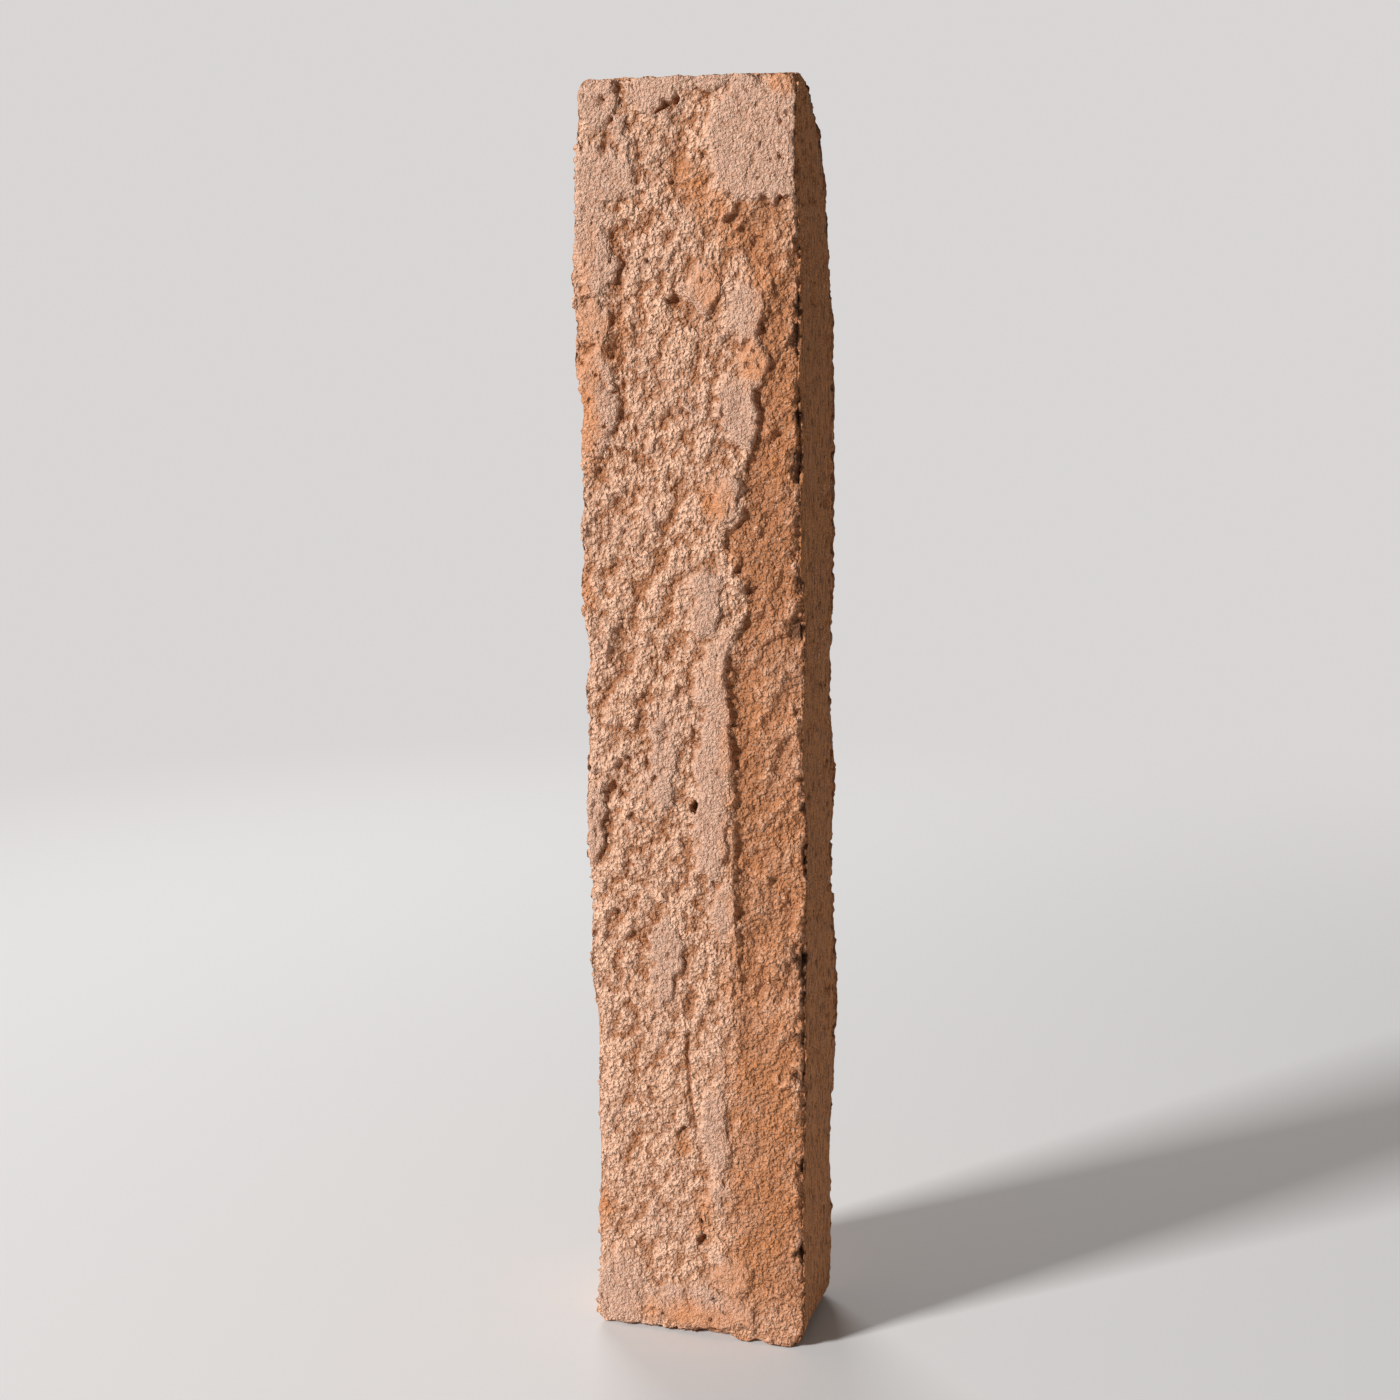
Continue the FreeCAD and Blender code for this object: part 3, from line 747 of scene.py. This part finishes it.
class ClaySettings(bpy.types.PropertyGroup):
    """Sizes and colours of the fired clay."""
    voxel: length_setting("Working grain", "Size of the even mesh that is shaped", 0.0005)
    triangles: bpy.props.IntProperty(
        name="Triangles", description="How many triangles the finished piece keeps",
        default=198000, min=10000)
    grain_height: length_setting("Grain height", "How far the bumped grain rises", 0.0019)
    skin_colour: colour_setting("Skin", "The smooth moulded skin", (0.73, 0.445, 0.32, 1))
    torn_colour: colour_setting("Torn clay", "Clay torn open, on its high grains",
                                (0.95, 0.575, 0.39, 1))
    # Painted shade in hollows, seams, the sunken band and the edges, with the torn clay's deeper
    # orange.
    hollow_and_shade_colour: colour_setting("Hollows", "The bottoms of the torn clay",
                                  (0.46, 0.188, 0.082, 1))
    glow_colour: colour_setting("Orange clay", "Rubbed and deeper clay", (0.685, 0.27, 0.104, 1))
    rosy_colour: colour_setting("Rosy clay", "Broad pinkish clouds", (0.69, 0.435, 0.315, 1))
    side_colour: colour_setting("Sides", "The wiped sides and ends", (0.82, 0.35, 0.14, 1))
    # Drag marks, and painted shade in the sides' dips and at the right side's back edge.
    streak_and_shade_colour: colour_setting("Streaks", "Drag marks and dips of the sides",
                                  (0.36, 0.14, 0.055, 1))
    # Painted shade in small pits, with their deeper colour.
    pit_shade_colour: colour_setting("Pits", "Small pits between the grains", (0.34, 0.145, 0.07, 1))
    pale_grain_colour: colour_setting("Pale grains", "Sand grains", (0.88, 0.635, 0.49, 1))
    # Painted shadow in the chips, holes and pores, with some dark crumbs.
    deep_shadow_colour: colour_setting("Burnt clay", "Dark lumps along the edge", (0.13, 0.06, 0.034, 1))


class StageSettings(bpy.types.PropertyGroup):
    """The floor, the light and the camera."""
    floor_colour: colour_setting("Floor", "The floor's colour", (0.715, 0.71, 0.71, 1))
    background: colour_setting("Background", "What is seen past the floor",
                               (0.69, 0.67, 0.665, 1))
    floor_radius: length_setting("Floor radius", "Half the floor's width", 4.0)
    floor_clear_start: length_setting("Clearing starts", "Where the floor begins to clear", 0.45)
    floor_clear_end: length_setting("Clearing ends", "Where the floor is gone", 1.25)
    key_power: bpy.props.FloatProperty(name="Key light", default=268.0, min=0, unit="POWER",
                                       description="The main light, from the left and in front")
    key_size: length_setting("Key size", "Width of the main light", 0.75)
    sky: bpy.props.FloatProperty(name="Sky light", default=0.17, min=0,
                                 description="Strength of the even light from all round")
    sky_colour: colour_setting("Sky colour", "Colour of the even light", (1.0, 0.92, 0.84, 1))
    back_power: bpy.props.FloatProperty(name="Back light", default=34.0, min=0, unit="POWER",
                                        description="A weak light behind, on the left")
    lens: bpy.props.FloatProperty(name="Lens", default=54.87, min=1, unit="CAMERA",
                                  description="Focal length on a sensor 36 mm wide")


# ---- operators -------------------------------------------------------------------------------

class TERRACOTTA_OT_tile(bpy.types.Operator):
    """Models the tile's clay over its CAD body"""
    bl_idname = "terracotta.tile"
    bl_label = "Terracotta Tile"

    def execute(self, context):
        clay = context.scene.terracotta_clay
        cad_body = bmesh.new()
        cad_body.from_mesh(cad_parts[NODE].data)
        bmesh.ops.remove_doubles(cad_body, verts=cad_body.verts, dist=WELD)
        depths = cad_depths(cad_body)
        mesh = bpy.data.meshes.new("terracotta_tile_body")
        cad_body.to_mesh(mesh)
        cad_body.free()
        piece = bpy.data.objects.new("terracotta_tile_clay", mesh)
        context.scene.collection.objects.link(piece)
        even = piece.modifiers.new("even_mesh", "REMESH")
        even.mode = "VOXEL"
        even.voxel_size = clay.voxel
        finish_modifiers(piece)
        shape_clay(ClayForm(piece.data, depths))
        thin = piece.modifiers.new("fewer_faces", "DECIMATE")
        thin.use_collapse_triangulate = True
        thin.ratio = clay.triangles / sum(len(face.vertices) - 2 for face in piece.data.polygons)
        finish_modifiers(piece)
        keep_inside(piece.data)
        if not 0.5 * clay.triangles < len(piece.data.polygons) < MOST_TRIANGLES:
            raise RuntimeError(f"the tile has {len(piece.data.polygons)} triangles")
        piece.data.shade_smooth()
        piece.data.materials.clear()
        piece.data.materials.append(clay_material(clay))
        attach(piece, "root")
        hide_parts(NODE)
        return {"FINISHED"}


def finish_modifiers(piece):
    """Turns a piece's modifiers into its mesh."""
    depsgraph = bpy.context.evaluated_depsgraph_get()
    mesh = bpy.data.meshes.new_from_object(piece.evaluated_get(depsgraph))
    piece.modifiers.clear()
    piece.data = mesh


def keep_inside(mesh):
    """Brings any vertex that stands out of the CAD body's box back to it."""
    places = np.empty(len(mesh.vertices) * 3, dtype=np.float32)
    mesh.vertices.foreach_get("co", places)
    places = np.clip(places.reshape(-1, 3), np.array(LOW), np.array(HIGH))
    mesh.vertices.foreach_set("co", places.ravel().astype(np.float32))
    mesh.update()


def aim(item, place, target):
    """Puts a lamp or camera at a place, looking at a target."""
    item.location = place
    item.rotation_euler = (Vector(target) - Vector(place)).to_track_quat("-Z", "Y").to_euler()


def lamp(name, place, target, power, size):
    """A square soft lamp."""
    data = bpy.data.lights.new(name, "AREA")
    data.energy = power
    data.size = size
    item = bpy.data.objects.new(name, data)
    bpy.context.scene.collection.objects.link(item)
    aim(item, place, target)


class TERRACOTTA_OT_stage(bpy.types.Operator):
    """Sets the floor, the light and the camera"""
    bl_idname = "terracotta.stage"
    bl_label = "Plain Stage"

    def execute(self, context):
        stage = context.scene.terracotta_stage
        disc = bmesh.new()
        bmesh.ops.create_circle(disc, cap_ends=True, segments=96, radius=stage.floor_radius)
        bmesh.ops.translate(disc, verts=disc.verts, vec=(0, 0, LOW.z))
        mesh = bpy.data.meshes.new("floor")
        disc.to_mesh(mesh)
        disc.free()
        mesh.materials.append(floor_material(stage))
        floor = bpy.data.objects.new("floor", mesh)
        context.scene.collection.objects.link(floor)

        middle = (LOW + HIGH) / 2
        lamp("key", middle - KEY_TRAVEL * KEY_DISTANCE, middle, stage.key_power, stage.key_size)
        lamp("back", middle + BACK_LAMP, middle, stage.back_power, BACK_LAMP_SIZE)
        self.sky(stage)
        self.camera(context.scene, stage)
        return {"FINISHED"}

    def sky(self, stage):
        """An even light all round, and the background that the camera sees past the floor."""
        world = bpy.data.worlds.new("pale_room")
        bpy.context.scene.world = world
        room = Nodes(world)
        camera = room.node("ShaderNodeLightPath", output="Is Camera Ray")
        shown = camera.math("MAXIMUM", camera.sibling("Is Glossy Ray"))
        shown = shown.math("MAXIMUM", camera.sibling("Is Transmission Ray"))
        even = room.node("ShaderNodeBackground", {},
                         {"Color": tuple(stage.sky_colour), "Strength": stage.sky})
        seen = room.node("ShaderNodeBackground", {},
                         {"Color": tuple(stage.background), "Strength": 1.0})
        both = room.node("ShaderNodeMixShader", {}, {0: shown, 1: even, 2: seen})
        room.set(room.tree.nodes["World Output"].inputs["Surface"], both)

    def camera(self, scene, stage):
        """The camera, a little above the middle, to the right of the hewn face."""
        data = bpy.data.cameras.new("camera")
        data.sensor_width = 36.0
        data.lens = stage.lens
        item = bpy.data.objects.new("camera", data)
        scene.collection.objects.link(item)
        turn = (Matrix.Rotation(math.radians(CAMERA_SWING), 4, "Z")
                @ Matrix.Rotation(math.radians(90 - CAMERA_DIP), 4, "X")
                @ Matrix.Rotation(math.radians(CAMERA_ROLL), 4, "Z"))
        face = Vector(((LOW.x + HIGH.x) / 2 + FACE_MIDDLE / MM, LOW.y, LOW.z))
        item.matrix_world = Matrix.Translation(face + CAMERA_PLACE) @ turn
        scene.camera = item
        scene.view_settings.view_transform = "Standard"


class TERRACOTTA_PT_panel(bpy.types.Panel):
    """The tile's settings and the buttons that make it"""
    bl_label = "Terracotta Tile"
    bl_idname = "TERRACOTTA_PT_panel"
    bl_space_type = "VIEW_3D"
    bl_region_type = "UI"
    bl_category = "Terracotta"

    def draw(self, context):
        for settings, operator in ((context.scene.terracotta_clay, "terracotta.tile"),
                                   (context.scene.terracotta_stage, "terracotta.stage")):
            box = self.layout.box()
            for name in settings.__annotations__:
                box.prop(settings, name)
            box.operator(operator)


CLASSES = (ClaySettings, StageSettings, TERRACOTTA_OT_tile, TERRACOTTA_OT_stage,
           TERRACOTTA_PT_panel)


def register():
    """Registers the classes and the settings they read."""
    for kind in CLASSES:
        bpy.utils.register_class(kind)
    bpy.types.Scene.terracotta_clay = bpy.props.PointerProperty(type=ClaySettings)
    bpy.types.Scene.terracotta_stage = bpy.props.PointerProperty(type=StageSettings)


def unregister():
    """Takes the settings and the classes away again."""
    del bpy.types.Scene.terracotta_stage
    del bpy.types.Scene.terracotta_clay
    for kind in reversed(CLASSES):
        bpy.utils.unregister_class(kind)


def main():
    """Makes the tile and its stage."""
    register()
    bpy.ops.terracotta.tile()
    bpy.ops.terracotta.stage()


if __name__ == "__main__":
    main()
